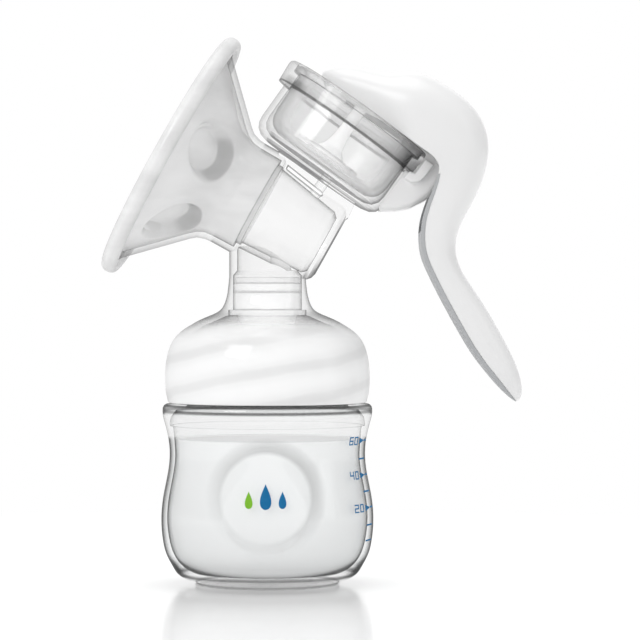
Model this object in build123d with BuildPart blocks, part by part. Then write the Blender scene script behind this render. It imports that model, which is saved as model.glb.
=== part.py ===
"""Manual breast pump on a small wide-neck bottle, in millimetres.

Frame: origin on the floor under the bottle's axis, +Z up, +X towards the squeeze
lever, the funnel towards -X. The pump head is nearly symmetric about the XZ plane.
"""
from build123d import *
import os
from math import cos, pi, radians, sin, sqrt

os.makedirs("parts", exist_ok=True)

# ---------------------------------------------------------------- dimensions
# bottle
BOTTLE_WALL = 1.7
SHOULDER_Z = 57.2
NECK_R = 27.3              # outside of the neck, under the thread
NECK_BORE_R = 25.0
LIP_Z = 75.3
FLOOR_Z = 3.0              # top of the bottle's floor
PANEL_Z = 29.0             # round pressed panel on the -Y side
PANEL_R = 14.4
PANEL_Y = 30.6             # distance of the flat panel from the bottle's axis
PANEL_TAPER = -52
PANEL_CUT = 12

# screw thread, two starts, right handed
LEAD = 12.0
THREAD_TURNS = 0.7
THREAD_Z = 62.2
THREAD_SUNK = 0.5          # how far a rib's root runs into its wall
RIB_ROOT_HALF = 1.2
RIB_CREST_HALF = 0.55
BOTTLE_CREST_R = 29.4
DOME_CREST_R = 28.1
DOME_BORE_R = 30.6

# funnel: its axis points down and towards the lever
FUNNEL_DIP = 29.2
FUNNEL_AT = (-29.85, 0, 135.6)
THROAT_R = 17.75
TUBE_R = 14.9
STEP_S = 32.2              # distances along the funnel's axis
TUBE_END_S = 57.5
RIM_R = 42.1               # outside of the soft rim
RIM_HALF = 3.5

# five petals on the cushion's cone
PETALS = 5
PETAL_S = 10.6
PETAL_CONE_R = 34.8        # the cone's radius at the mouth plane, falling at 45 degrees

# diaphragm cup: its axis leans towards the lever
CUP_LEAN = 35.6
CUP_AT = (25.1, 0, 144.4)  # on the axis, level with the band's lower edge
CUP_R = 24.15
BAND_R = 26.4
BAND_TOP = 7.7
CUP_FLOOR = -17.8
CUP_BORE_R = 22.3

# neck and valve
NECK_OUT_R = 12.1
NECK_IN_R = 10.9
NECK_TOP_Z = 112
COLLAR_R = NECK_IN_R - 0.1

# stem, bracket and pin
STEM_R = 2.1
KNOB_R = 4.6
BRACKET_HALF = 9.0
BRACKET_CORE_HALF = BRACKET_HALF - 2.2
BRACKET_FIT = 0.06
PIVOT = (57.0, 0, 135.1)
PIN_R = 2.0
PIN_HALF = 12.4
PIN_CLEAR = 0.05           # to the lever
PIN_BRACKET_CLEAR = 0.02

# lever
SHELL_WALL = 2.0
LINER_T = 1.25
FIT_GAP = 0.08             # shell to liner, and shell to stem hook
CHANNEL_LOW = -4.0         # the hollow's cut starts this far beyond the inner edge
CHEEK_Y = 9.6
CHEEK_T = 2.6
LINER_CLOSES_Z = 111.5     # below this the liner runs right across the channel

# stem hook
HOOK_MID = 12.35           # height of the plate up the cup's axis
HOOK_T = 1.5
HOOK_SIDE_Y = 7.4
HOOK_SIDE_T = 1.8
HOOK_SLOT_HALF = 2.6


# ---------------------------------------------------------------- frames
def side_plane(origin, x_dir=(1, 0, 0)):
    """Plane parallel to XZ, facing -Y."""
    return Plane(origin=origin, x_dir=x_dir, z_dir=(0, -1, 0))


funnel_dir = Vector(cos(radians(FUNNEL_DIP)), 0, -sin(radians(FUNNEL_DIP)))
cup_out = Vector(cos(radians(CUP_LEAN)), 0, -sin(radians(CUP_LEAN)))
cup_up = Vector(sin(radians(CUP_LEAN)), 0, cos(radians(CUP_LEAN)))

FUNNEL = side_plane(FUNNEL_AT, funnel_dir)   # x along the axis, y out
CUP = side_plane(CUP_AT, cup_out)            # x out, y along the axis
PIVOT_PLANE = side_plane(PIVOT)
FUNNEL_AXIS = Axis(FUNNEL_AT, funnel_dir)
CUP_AXIS = Axis(CUP_AT, cup_up)


# ---------------------------------------------------------------- helpers
def save(builder, name):
    builder.part.label = name
    export_step(builder.part, f"parts/{name}.step")


def outline_face(outline, plane):
    """Closed straight-sided outline, filled."""
    with BuildSketch(plane) as filled:
        with BuildLine():
            Polyline(*outline, close=True)
        make_face()
    return filled.sketch


def lathe(profile, plane, axis, mode=Mode.ADD):
    """Turn a profile round an axis in the current part.

    Points are (radius, z) for Axis.Z, (distance along, radius) for the funnel
    and (radius, height along the axis) for the cup.
    """
    revolve(outline_face(profile, plane), axis=axis, mode=mode)


def slab(outline, plane, half, mode=Mode.ADD):
    """Outline thickened by half on both sides of its plane, in the current part."""
    extrude(outline_face(outline, plane), amount=half, both=True, mode=mode)


def round_bar(plane, radius, length, both=False, taper=0, mode=Mode.SUBTRACT):
    """Disc extruded from its plane in the current part, by default as a cut."""
    with BuildSketch(plane) as disc:
        Circle(radius)
    extrude(disc.sketch, amount=length, both=both, taper=taper, mode=mode)


def thread_rib(root_r, crest_r, root_x):
    """One helical rib; root_x places its buried root, measured out from root_r."""
    crest_x = crest_r - root_r
    with BuildPart() as rib:
        with BuildLine(mode=Mode.PRIVATE) as path:
            Helix(pitch=LEAD, height=LEAD * THREAD_TURNS, radius=root_r, center=(0, 0, THREAD_Z))
        with BuildSketch(Plane(origin=path.line @ 0, x_dir=(1, 0, 0), z_dir=path.line % 0)):
            Polygon((root_x, -RIB_ROOT_HALF), (root_x, RIB_ROOT_HALF),
                    (crest_x, RIB_CREST_HALF), (crest_x, -RIB_CREST_HALF), align=None)
        sweep(path=path.line, is_frenet=True)
    return rib.part


# ---------------------------------------------------------------- bottle
# (radius, z), down the outside and up the inside
OUTER_WALL = [
    (33.25, 55.7), (33.25, 54.4), (32.4, 50.6), (31.3, 45.6), (31.0, 40.6), (31.7, 34.6),
    (33.0, 28.0), (33.65, 20.6), (33.2, 14.2), (32.0, 9.4), (29.9, 5.4), (26.4, 2.1),
    (22.6, 0.25), (21.5, 0.0),
]
INNER_WALL = [
    (20.0, FLOOR_Z), (23.0, 3.6), (27.0, 5.9), (29.7, 9.6), (31.1, 14.2), (31.8, 20.6),
    (31.2, 28.0), (29.95, 34.6), (29.25, 40.6), (29.5, 45.6), (30.4, 50.4), (30.6, 53.0),
]
HOLLOW_TOP_Z = LIP_Z + 5

with BuildPart() as bottle_hollow:
    with BuildSketch(Plane.XZ):
        with BuildLine():
            Polyline((0, FLOOR_Z), INNER_WALL[0])
            wall = Spline(*INNER_WALL, tangents=[(1, 0.02), (-0.2, 1)])
            Polyline(wall @ 1, (29.0, 55.2), (26.0, 56.0), (NECK_BORE_R, 57.4),
                     (NECK_BORE_R, HOLLOW_TOP_Z), (0, HOLLOW_TOP_Z), (0, FLOOR_Z))
        make_face()
    revolve(axis=Axis.Z)
    # the wall is carried in behind the pressed panel
    round_bar(side_plane((0, -PANEL_Y + BOTTLE_WALL, PANEL_Z)), PANEL_R + 1.1, PANEL_CUT,
              taper=PANEL_TAPER)

with BuildPart() as bottle:
    with BuildSketch(Plane.XZ):
        with BuildLine():
            wall = Spline(*OUTER_WALL, tangents=[(0.1, -1), (-1, 0)])
            Polyline(wall @ 1, (16.5, 0.0), (15.3, 0.7), (6.2, 0.7), (5.0, 0.0), (0, 0.0),
                     (0, LIP_Z), (NECK_R - 0.5, LIP_Z), (NECK_R, LIP_Z - 0.6), (NECK_R, 58.6),
                     (28.6, SHOULDER_Z), (31.6, SHOULDER_Z), (32.2, 57.1), (32.75, 56.75),
                     (33.1, 56.25), wall @ 0)
        make_face()
    revolve(axis=Axis.Z)
    round_bar(side_plane((0, -PANEL_Y, PANEL_Z)), PANEL_R, PANEL_CUT, taper=PANEL_TAPER)
    add(bottle_hollow.part, mode=Mode.SUBTRACT)
    outer_rib = thread_rib(NECK_R, BOTTLE_CREST_R, -THREAD_SUNK)
    for start in (0, 180):
        add(outer_rib.rotate(Axis.Z, start))
save(bottle, "bottle")

# ---------------------------------------------------------------- neck gasket
SEAL_PROFILE = [
    (24.7, LIP_Z + 0.05), (27.3, LIP_Z + 0.05), (27.5, LIP_Z + 0.5), (27.5, LIP_Z + 1.2),
    (27.3, LIP_Z + 1.6), (24.7, LIP_Z + 1.6), (24.5, LIP_Z + 1.2), (24.5, LIP_Z + 0.5),
]
with BuildPart() as bottle_seal:
    lathe(SEAL_PROFILE, Plane.XZ, Axis.Z)
save(bottle_seal, "bottle_seal")

# ---------------------------------------------------------------- pump body
# (radius, z), up the outside of skirt and neck
DOME_WALL = [
    (31.6, 57.9), (32.1, 60.0), (32.5, 64.6), (32.3, 69.4), (31.6, 73.3), (29.9, 77.3),
    (27.6, 79.9), (24.4, 82.1), (21.3, 83.8), (17.5, 85.4), (14.6, 87.2), (13.2, 90.0),
    (12.5, 93.4), (12.15, 97.0), (NECK_OUT_R, 101.0),
]
VALVE_BORE_TOP = [(NECK_IN_R, 97.9), (9.6, 99.4)]
SKIRT_HOLLOW = [
    (0, 50), (DOME_BORE_R, 50), (DOME_BORE_R, 72.2), (29.4, 75.4), (27.7, 77.0), (24.2, 77.0),
    (23.6, 79.6), (20.3, 81.9), (16.4, 83.5), (13.4, 84.9), (12.4, 85.2), (12.4, 86.9),
    (NECK_IN_R, 86.9), *VALVE_BORE_TOP, (9.6, 114), (0, 114),
]
FUNNEL_OUTSIDE = [
    (-1.5, 0), (-1.5, 39.0), (15.2, 22.3), (17.2, 20.3), (19.0, 18.8), (21.6, 17.95),
    (24.0, THROAT_R), (STEP_S - 0.7, THROAT_R), (STEP_S, THROAT_R - 0.7),
    (STEP_S, TUBE_R + 0.3), (TUBE_END_S - 3.0, TUBE_R - 0.9), (TUBE_END_S - 1.6, TUBE_R - 1.4),
    (TUBE_END_S - 0.5, TUBE_R - 2.6), (TUBE_END_S, TUBE_R - 4.2), (TUBE_END_S, 0),
]
FUNNEL_HOLLOW = [
    (-3.0, 0), (-3.0, 38.0), (-1.5, 36.5), (16.0, 19.0), (18.0, 17.3), (20.2, 16.2),
    (23.0, 15.85), (STEP_S - 1.6, 15.7), (STEP_S - 1.6, 14.1), (STEP_S, 14.1), (STEP_S, 0),
]
CUP_OUTSIDE = [
    (0, CUP_FLOOR), (19.0, CUP_FLOOR), (21.2, CUP_FLOOR + 0.55), (22.9, CUP_FLOOR + 1.8),
    (23.85, CUP_FLOOR + 3.6), (CUP_R, CUP_FLOOR + 5.6), (CUP_R, 0), (BAND_R, 0),
    (BAND_R + 0.5, 6.3), (BAND_R + 0.3, 7.2), (BAND_R - 0.3, BAND_TOP), (0, BAND_TOP),
]
CUP_HOLLOW = [
    (0, CUP_FLOOR + 2.0), (18.4, CUP_FLOOR + 2.0), (20.6, CUP_FLOOR + 2.9),
    (21.9, CUP_FLOOR + 4.7), (CUP_BORE_R, CUP_FLOOR + 7.0), (CUP_BORE_R, 5.2),
    (24.2, 5.2), (24.4, 12), (0, 12),
]
# drafted core of the tube: distance along, offset from the funnel's axis, radius
TUBE_CORE = [
    (STEP_S - 0.5, 0.1, 13.4),
    (TUBE_END_S - 4.2, -1.35, 11.0),
    (TUBE_END_S - 2.7, -1.45, 9.6),
]
# world (x, z)
WEB = [(3.6, 126.0), (3.6, 137.2), (27.9, 121.0), (25.6, 116.0), (18.0, 112.0)]
# funnel frame (along, out)
WEB_SLOT = [(STEP_S + 1.0, 14.0), (STEP_S + 14.6, 11.8), (STEP_S + 15.2, 12.4),
            (STEP_S + 14.6, 13.1), (STEP_S + 1.0, 15.3)]

with BuildPart() as pump_body:
    # skirt and neck
    with BuildSketch(Plane.XZ):
        with BuildLine():
            wall = Spline(*DOME_WALL, tangents=[(0.15, 1), (0, 1)])
            Polyline(wall @ 1, (NECK_OUT_R, NECK_TOP_Z), (0, NECK_TOP_Z), (0, 57.6),
                     (31.2, 57.6), wall @ 0)
        make_face()
    revolve(axis=Axis.Z)
    # hollow of the skirt, the gasket's seat and the valve's bore
    lathe(SKIRT_HOLLOW, Plane.XZ, Axis.Z, Mode.SUBTRACT)
    # internal thread, a quarter turn from the bottle's
    inner_rib = thread_rib(DOME_BORE_R, DOME_CREST_R, THREAD_SUNK)
    for start in (90, 270):
        add(inner_rib.rotate(Axis.Z, start))
    lathe(FUNNEL_OUTSIDE, FUNNEL, FUNNEL_AXIS)
    lathe(CUP_OUTSIDE, CUP, CUP_AXIS)
    # web between the tube's end and the cup's floor
    slab(WEB, Plane.XZ, 6.5)
    lathe(FUNNEL_HOLLOW, FUNNEL, FUNNEL_AXIS, Mode.SUBTRACT)
    # the tube's hollow runs down towards the end
    for along, offset, radius in TUBE_CORE:
        centre = FUNNEL.from_local_coords((along, offset, 0))
        with BuildSketch(Plane(origin=centre, x_dir=(0, 1, 0), z_dir=funnel_dir)):
            Circle(radius)
    loft(mode=Mode.SUBTRACT, ruled=True)
    # clear the valve collar's bore of what the tube and web put back
    lathe([(0, 86.0), (NECK_IN_R, 86.0), *VALVE_BORE_TOP, (0, 99.4)],
          Plane.XZ, Axis.Z, Mode.SUBTRACT)
    # hollow of the cup, with the step that seats the diaphragm's bead
    lathe(CUP_HOLLOW, CUP, CUP_AXIS, Mode.SUBTRACT)
    # air duct from the cup's floor to the tube
    duct_at = CUP.from_local_coords((4.0, CUP_FLOOR + 4, 0))
    round_bar(Plane(origin=duct_at, x_dir=(0, 1, 0), z_dir=-cup_up), 1.8, 13.5)
    # drain from the tube to the valve
    round_bar(Plane((4.2, 0, 96.0), x_dir=(1, 0, 0), z_dir=(0, 0, 1)), 3.2, 16)
    # slot moulded out of the web beside the duct
    slab(WEB_SLOT, FUNNEL, 9.0, Mode.SUBTRACT)
save(pump_body, "pump_body")

# ---------------------------------------------------------------- valve
COLLAR_PROFILE = [
    (8.6, 85.4), (11.9, 85.4), (11.9, 86.8), (COLLAR_R, 86.8), (COLLAR_R, 92.3),
    (10.3, 92.5), (10.3, 93.1), (COLLAR_R, 93.3), (COLLAR_R, 95.2), (10.2, 95.5),
    (10.2, 97.0), (9.9, 97.3), (9.0, 97.3), (8.7, 97.0), (8.6, 92.0),
]
# mode, two discs as (z, radius), then the flat end's z, length and width
BILL_LOFTS = [
    (Mode.ADD, ((86.2, 9.6), (82.4, 8.6)), 71.6, 15.4, 2.6),
    (Mode.SUBTRACT, ((86.3, 8.6), (82.4, 7.6)), 72.4, 13.2, 0.7),
]
with BuildPart() as valve:
    lathe(COLLAR_PROFILE, Plane.XZ, Axis.Z)
    # hollow duckbill below the collar, flattening from round to one narrow end
    for mode, discs, end_z, length, width in BILL_LOFTS:
        for z, radius in discs:
            with BuildSketch(Plane.XY.offset(z)):
                Circle(radius)
        with BuildSketch(Plane.XY.offset(end_z)):
            SlotOverall(length, width)
        loft(ruled=True, mode=mode)
    # slit through the bill's tip
    with BuildSketch(Plane.XY.offset(71.0)):
        Rectangle(12.4, 0.3)
    extrude(amount=2.0, mode=Mode.SUBTRACT)
save(valve, "valve")

# ---------------------------------------------------------------- massage cushion
CUSHION_PROFILE = [
    (-3.3, 34.6), (-RIM_HALF, 36.0), (-RIM_HALF, 39.6), (-2.8, 41.3), (-1.2, RIM_R),
    (1.6, RIM_R), (3.0, 41.3), (RIM_HALF, 40.4), (3.0, 38.4), (1.2, 36.8), (-1.6, 39.4),
    (-1.7, 39.3), (-1.7, 36.5), (-1.3, 36.1), (15.9, 18.9), (17.9, 17.15), (20.1, 16.05),
    (23.0, 15.7), (30.4, 15.5), (30.4, 14.0), (32.0, 13.9), (32.0, 11.2), (30.0, 11.0),
    (22.0, 12.0), (17.6, 14.0), (14.4, 17.2), (-1.6, 33.2),
]
# ellipses as (level towards the mouth, radius along the cone, radius across it)
PETAL_LOFTS = [
    (Mode.ADD, ((1.65, 12.0, 9.8), (5.4, 10.2, 8.0))),         # stands out on the mouth's side
    (Mode.SUBTRACT, ((-0.8, 11.2, 9.0), (3.9, 8.8, 6.4))),     # hollow behind
]


def petal_plane(turn, level):
    """Plane along the cone's surface at one petal, raised towards the mouth."""
    out = FUNNEL.y_dir * sin(radians(turn)) + Vector(0, -1, 0) * cos(radians(turn))
    inward = (out * -1 - funnel_dir).normalized()
    along = (funnel_dir - out).normalized()
    middle = Vector(*FUNNEL_AT) + funnel_dir * PETAL_S + out * (PETAL_CONE_R - PETAL_S)
    return Plane(origin=middle + inward * level, x_dir=along, z_dir=inward)


with BuildPart() as massage_cushion:
    lathe(CUSHION_PROFILE, FUNNEL, FUNNEL_AXIS)
    for mode, sections in PETAL_LOFTS:
        for k in range(PETALS):
            for level, along_r, across_r in sections:
                with BuildSketch(petal_plane(90 + 360 / PETALS * k, level)):
                    Ellipse(along_r, across_r)
            loft(ruled=True, mode=mode)
save(massage_cushion, "massage_cushion")

# ---------------------------------------------------------------- diaphragm
DIAPHRAGM_PROFILE = [
    (0, -13.8), (15.6, -13.8), (18.6, -13.2), (20.6, -11.4), (21.5, -8.6), (21.7, -4.0),
    (21.9, 5.3), (24.0, 5.3), (24.0, 7.2), (23.6, 7.6), (22.2, 7.6), (21.2, 7.2), (20.6, 6.0),
    (20.3, -4.0), (20.0, -8.2), (19.0, -10.6), (17.0, -12.0), (14.6, -12.4), (11.2, -12.4),
    (11.2, -9.6), (8.6, -9.6), (8.6, -10.6), (9.8, -10.7), (9.8, -12.4), (0, -12.4),
]
with BuildPart() as diaphragm:
    lathe(DIAPHRAGM_PROFILE, CUP, CUP_AXIS)
save(diaphragm, "diaphragm")

# ---------------------------------------------------------------- stem
STEM_PROFILE = [
    (0, -12.35), (9.5, -12.35), (9.5, -10.9), (8.2, -10.8), (8.2, -10.2), (5.2, -9.2),
    (3.2, -7.0), (2.4, -4.0), (STEM_R, 0), (STEM_R, 13.2), (KNOB_R, 15.3), (KNOB_R, 15.7),
    (KNOB_R - 0.6, 16.2), (2.4, 16.6), (0, 16.7),
]
with BuildPart() as diaphragm_stem:
    lathe(STEM_PROFILE, CUP, CUP_AXIS)
save(diaphragm_stem, "diaphragm_stem")

# ---------------------------------------------------------------- bracket and pin
# cup frame (out, up the axis)
CHIN = [
    (22.0, -15.6), (23.6, -15.4), (27.9, -12.2), (31.1, -8.8), (33.6, -3.9), (34.4, -0.4),
    (34.7, 3.0), (36.2, 9.0), (36.4, 11.2), (35.4, 14.0), (33.4, 15.7), (31.0, 16.0),
    (28.6, 15.1), (26.6, 12.6), (25.2, 9.4), (22.0, 9.4),
]
BAND_LIP = [(24.0, -2.6), (26.6, -2.4), (28.6, -0.8), (29.1, 2.0), (29.2, 6.2), (26.0, 6.2),
            (26.0, 0.4), (24.0, 0.4)]
# the cup and band with their clearance
CUP_CLEARANCE = [
    (0, -30), (CUP_R + BRACKET_FIT, -30), (CUP_R + BRACKET_FIT, -BRACKET_FIT),
    (BAND_R + BRACKET_FIT, -BRACKET_FIT), (BAND_R + 0.58, 6.3), (BAND_R + 0.38, 7.3),
    (BAND_R - 0.2, BAND_TOP + 0.12), (24.9, BAND_TOP + 0.12), (24.9, 20), (0, 20),
]
# rounding of the sides: distance from the XZ plane, how far the outline is drawn in
CHIN_SIDES = [(BRACKET_CORE_HALF, 0.0), (BRACKET_HALF - 0.8, 0.6), (BRACKET_HALF, 2.2)]


def drawn_in(points, distance):
    """Each point moved towards the middle of the outline."""
    mid_x = sum(x for x, z in points) / len(points)
    mid_z = sum(z for x, z in points) / len(points)
    moved = []
    for x, z in points:
        reach = sqrt((x - mid_x) ** 2 + (z - mid_z) ** 2)
        moved.append((x - (x - mid_x) / reach * distance, z - (z - mid_z) / reach * distance))
    return moved


with BuildPart() as pivot_bracket:
    slab(CHIN, CUP, BRACKET_CORE_HALF)
    for side in (1, -1):
        for rise, shrink in CHIN_SIDES:
            with BuildSketch(side_plane(Vector(*CUP_AT) + Vector(0, side * rise, 0), cup_out)):
                with BuildLine():
                    Polyline(*drawn_in(CHIN, shrink), close=True)
                make_face()
        loft(ruled=True)
    # lip that wraps the band's lower corner
    slab(BAND_LIP, CUP, 11.0)
    lathe(CUP_CLEARANCE, CUP, CUP_AXIS, Mode.SUBTRACT)
    round_bar(PIVOT_PLANE, PIN_R + PIN_BRACKET_CLEAR, 20, both=True)
save(pivot_bracket, "pivot_bracket")

with BuildPart() as pivot_pin:
    round_bar(PIVOT_PLANE, PIN_R, PIN_HALF, both=True, mode=Mode.ADD)
    chamfer(pivot_pin.edges().filter_by(GeomType.CIRCLE), 0.4)
save(pivot_pin, "pivot_pin")

# ---------------------------------------------------------------- lever
# stations down the lever: outer edge (x, z), inner edge (x, z), width
STATIONS = [
    ((17.3, 161.5), (18.2, 158.0), 10.0),
    ((18.3, 163.0), (20.6, 155.4), 17.5),
    ((21.2, 163.9), (24.9, 152.9), 24.5),
    ((26.4, 164.0), (29.6, 149.6), 29.0),
    ((33.0, 162.7), (34.9, 146.6), 34.4),
    ((40.0, 161.9), (40.3, 143.3), 40.0),
    ((47.0, 162.2), (44.9, 139.8), 43.0),
    ((54.0, 159.6), (48.9, 137.0), 42.6),
    ((61.6, 154.6), (52.2, 134.5), 40.6),
    ((67.6, 147.6), (53.8, 131.6), 37.6),
    ((70.0, 139.6), (53.3, 128.4), 34.4),
    ((69.2, 131.4), (52.0, 124.8), 31.4),
    ((66.0, 122.6), (50.2, 120.2), 28.8),
    ((62.2, 115.6), (48.8, 115.4), 26.8),
    ((59.9, 109.0), (48.3, 110.2), 25.4),
    ((60.2, 103.0), (48.9, 104.6), 24.8),
    ((63.0, 97.0), (51.2, 98.6), 24.8),
    ((65.6, 93.1), (53.8, 93.3), 25.1),
    ((68.6, 88.6), (57.0, 87.2), 25.5),
    ((71.7, 83.4), (60.8, 80.4), 25.8),
    ((74.6, 78.2), (64.6, 74.0), 25.4),
    ((77.0, 73.6), (67.7, 69.6), 24.2),
    ((78.8, 69.6), (70.4, 66.2), 22.4),
    ((80.5, 63.9), (74.4, 61.6), 16.6),
    ((80.7, 60.4), (77.4, 58.8), 9.6),
    ((80.0, 58.5), (78.7, 57.9), 4.0),
]
HOLLOW_STATIONS = STATIONS[2:23]
# the liner's inner edge (x, z) follows the grip's inner edge between its two ends
LINER_EDGE = [
    (53.5, 129.4),
    *(inner for outer, inner, width in STATIONS[11:23]),
    (74.6, 61.4), (78.6, 57.2),
]
# share of the liner's full depth near its two ends, by index in LINER_EDGE
LINER_THINS = {0: 0.55, 1: 0.8, 2: 0.95, 13: 0.8, 14: 0.55}
CHEEK = [(52.6, 136.8), (53.2, 132.9), (55.6, 130.6), (58.6, 130.3), (61.4, 132.2),
         (66.0, 140.0), (72.0, 150.0), (60.0, 160.0), (52.8, 158.0)]    # (x, z)


def station_plane(station):
    """Section plane at the station's inner edge, and the depth to its outer edge."""
    (outer_x, outer_z), (inner_x, inner_z), _ = station
    across = Vector(outer_x - inner_x, 0, outer_z - inner_z)
    normal = Vector(0, 1, 0).cross(across.normalized())
    return Plane(origin=(inner_x, 0, inner_z), x_dir=(0, 1, 0), z_dir=normal), across.length


def arch(half, base, top):
    """Section points from one inner corner over the crown to the other."""
    waist = base + (top - base) * 0.4
    knee = base + (waist - base) * 0.5
    points = [(half * 0.93, base), (half * 0.985, knee), (half, waist)]
    for i in range(1, 8):
        cosine, sine = cos(pi * i / 8), sin(pi * i / 8)
        sign = 1 if cosine > 0 else -1
        y = half * abs(cosine) ** 0.8 * sign if i != 4 else 0.0
        points.append((y, waist + (top - waist) * sine ** 0.87))
    return points + [(-half, waist), (-half * 0.985, knee), (-half * 0.93, base)]


def loft_stations(stations, inset=0.0, base=0.0):
    """Smooth body through the stations, inset at the sides and crown."""
    with BuildPart() as body:
        for station in stations:
            plane, depth = station_plane(station)
            with BuildSketch(plane):
                with BuildLine():
                    crown = Spline(*arch(station[2] / 2 - inset, base, depth - inset))
                    Line(crown @ 1, crown @ 0)
                make_face()
        loft()
    return body.part


def beside_liner_edge(depth):
    """The liner's inner edge moved towards the outer face of the lever."""
    last = len(LINER_EDGE) - 1
    moved = []
    for i, (x, z) in enumerate(LINER_EDGE):
        gap = depth - LINER_T * (1 - LINER_THINS.get(i, 1.0))
        x0, z0 = LINER_EDGE[max(i - 1, 0)]
        x1, z1 = LINER_EDGE[min(i + 1, last)]
        span = sqrt((x1 - x0) ** 2 + (z1 - z0) ** 2)
        moved.append((x - (z1 - z0) / span * gap, z + (x1 - x0) / span * gap))
    # the top end steps straight down from the shell
    moved[0] = (moved[0][0], LINER_EDGE[0][1] + depth - LINER_T)
    return moved


def liner_region(depth):
    """Everything on the inner side of the line between liner and shell."""
    line = beside_liner_edge(depth)
    with BuildPart() as region:
        with BuildSketch(Plane.XZ):
            with BuildLine():
                border = Spline(*line)
                Polyline(border @ 1, (60.0, 45.0), (30.0, 90.0), (30.0, line[0][1]), border @ 0)
            make_face()
        extrude(amount=40, both=True)
    return region.part


envelope = loft_stations(STATIONS)
channel = loft_stations(HOLLOW_STATIONS, SHELL_WALL, CHANNEL_LOW)

# two cheeks inside the channel carry the pin
with BuildPart() as cheeks:
    for side in (1, -1):
        with BuildSketch(side_plane((0, side * CHEEK_Y, 0))):
            with BuildLine():
                Polyline(*CHEEK, close=True)
            make_face()
        extrude(amount=-side * CHEEK_T)
    add(envelope, mode=Mode.INTERSECT)

with BuildPart() as lever_shell:
    add(envelope)
    add(channel, mode=Mode.SUBTRACT)
    add(cheeks.part)
    round_bar(PIVOT_PLANE, PIN_R + PIN_CLEAR, PIN_HALF + 0.2, both=True)
    add(liner_region(LINER_T + FIT_GAP), mode=Mode.SUBTRACT)
save(lever_shell, "lever_shell")

# the part of the channel that the liner leaves open
with BuildPart() as open_channel:
    add(channel)
    with BuildSketch(Plane.XY.offset(LINER_CLOSES_Z)):
        with Locations((60, 0)):
            Rectangle(80, 80)
    extrude(amount=60, mode=Mode.INTERSECT)

with BuildPart() as lever_liner:
    add(envelope)
    add(liner_region(LINER_T), mode=Mode.INTERSECT)
    add(open_channel.part, mode=Mode.SUBTRACT)
save(lever_liner, "lever_liner")

# ---------------------------------------------------------------- stem hook
with BuildPart() as stem_hook:
    # plate across the channel
    with BuildSketch(CUP):
        with Locations((-1.5, HOOK_MID)):
            Rectangle(16.0, HOOK_T)
    extrude(amount=30, both=True)
    # one upright plate, on the +Y side
    with BuildSketch(side_plane(Vector(*CUP_AT) + Vector(0, HOOK_SIDE_Y, 0), cup_out)):
        with BuildLine():
            Polyline((-9.5, 11.6), (6.5, 11.6), (6.5, 40), (-9.5, 40), close=True)
        make_face()
    extrude(amount=-HOOK_SIDE_T)
    # trimmed to fit inside the lever's channel
    add(loft_stations(HOLLOW_STATIONS, SHELL_WALL + FIT_GAP, CHANNEL_LOW), mode=Mode.INTERSECT)
    # open slot that takes the stem's neck, with a round end on the cup's axis
    with BuildSketch(CUP):
        with Locations((-6.2, HOOK_MID)):
            Rectangle(12.4, 4.0)
    extrude(amount=HOOK_SLOT_HALF, both=True, mode=Mode.SUBTRACT)
    slot_end = Plane(origin=CUP_AT, x_dir=cup_out, z_dir=cup_up).offset(10.5)
    round_bar(slot_end, HOOK_SLOT_HALF, 4.0)
save(stem_hook, "stem_hook")
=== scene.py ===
"""Looks for a hand breast pump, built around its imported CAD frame.

Metres, +Z up. The bottle stands on the floor about the Z axis, the lever points to +X, the
massage cushion opens towards -X, and the camera looks from the front, -Y.
Shapes are given in millimetres, shader distances in metres.
"""

import math

import bmesh
import bpy
import numpy as np
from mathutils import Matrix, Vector
from mathutils.kdtree import KDTree


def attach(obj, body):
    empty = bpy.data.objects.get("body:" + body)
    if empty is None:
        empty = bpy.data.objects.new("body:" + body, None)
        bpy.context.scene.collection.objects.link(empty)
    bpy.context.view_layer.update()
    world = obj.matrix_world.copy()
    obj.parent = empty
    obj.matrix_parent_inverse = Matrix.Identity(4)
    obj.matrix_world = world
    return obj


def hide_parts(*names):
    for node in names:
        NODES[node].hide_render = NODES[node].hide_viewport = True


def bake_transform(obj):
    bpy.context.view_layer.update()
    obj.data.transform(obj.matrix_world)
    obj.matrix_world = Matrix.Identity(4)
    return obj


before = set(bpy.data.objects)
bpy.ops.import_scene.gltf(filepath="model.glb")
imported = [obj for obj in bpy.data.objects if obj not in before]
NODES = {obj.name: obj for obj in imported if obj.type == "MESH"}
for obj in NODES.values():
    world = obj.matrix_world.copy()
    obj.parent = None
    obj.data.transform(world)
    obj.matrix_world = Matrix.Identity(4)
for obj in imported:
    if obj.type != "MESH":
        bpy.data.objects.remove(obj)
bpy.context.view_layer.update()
MM = 0.001

# ------------------------------------------------------------------ driving dimensions
# massage cushion: its axis runs from the mouth into the body, dipping towards +X
CUSHION_AT = (-29.85, 0.0, 135.6)
CUSHION_DIP = math.radians(29.2)
CUSHION_AXIS = (math.cos(CUSHION_DIP), 0.0, -math.sin(CUSHION_DIP))

# diaphragm cup: its axis runs upwards, leaning towards +X
CUP_AT = (25.1, 0.0, 144.4)
CUP_LEAN = math.radians(35.6)
CUP_AXIS = (math.sin(CUP_LEAN), 0.0, math.cos(CUP_LEAN))

# round flat panel on the bottle's front
PANEL_Z = 29.0
PANEL_FACE = 30.6  # distance of its face from the bottle's axis

# bottle's outer wall: (z, radius)
BOTTLE_WALL = [
    (0.25, 22.6), (2.1, 26.4), (5.4, 29.9), (9.4, 32.0), (14.2, 33.2), (20.6, 33.65), (28.0, 33.0),
    (34.6, 31.7), (40.6, 31.0), (45.6, 31.3), (50.6, 32.4), (54.6, 33.35), (56.6, 33.2),
]


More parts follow.
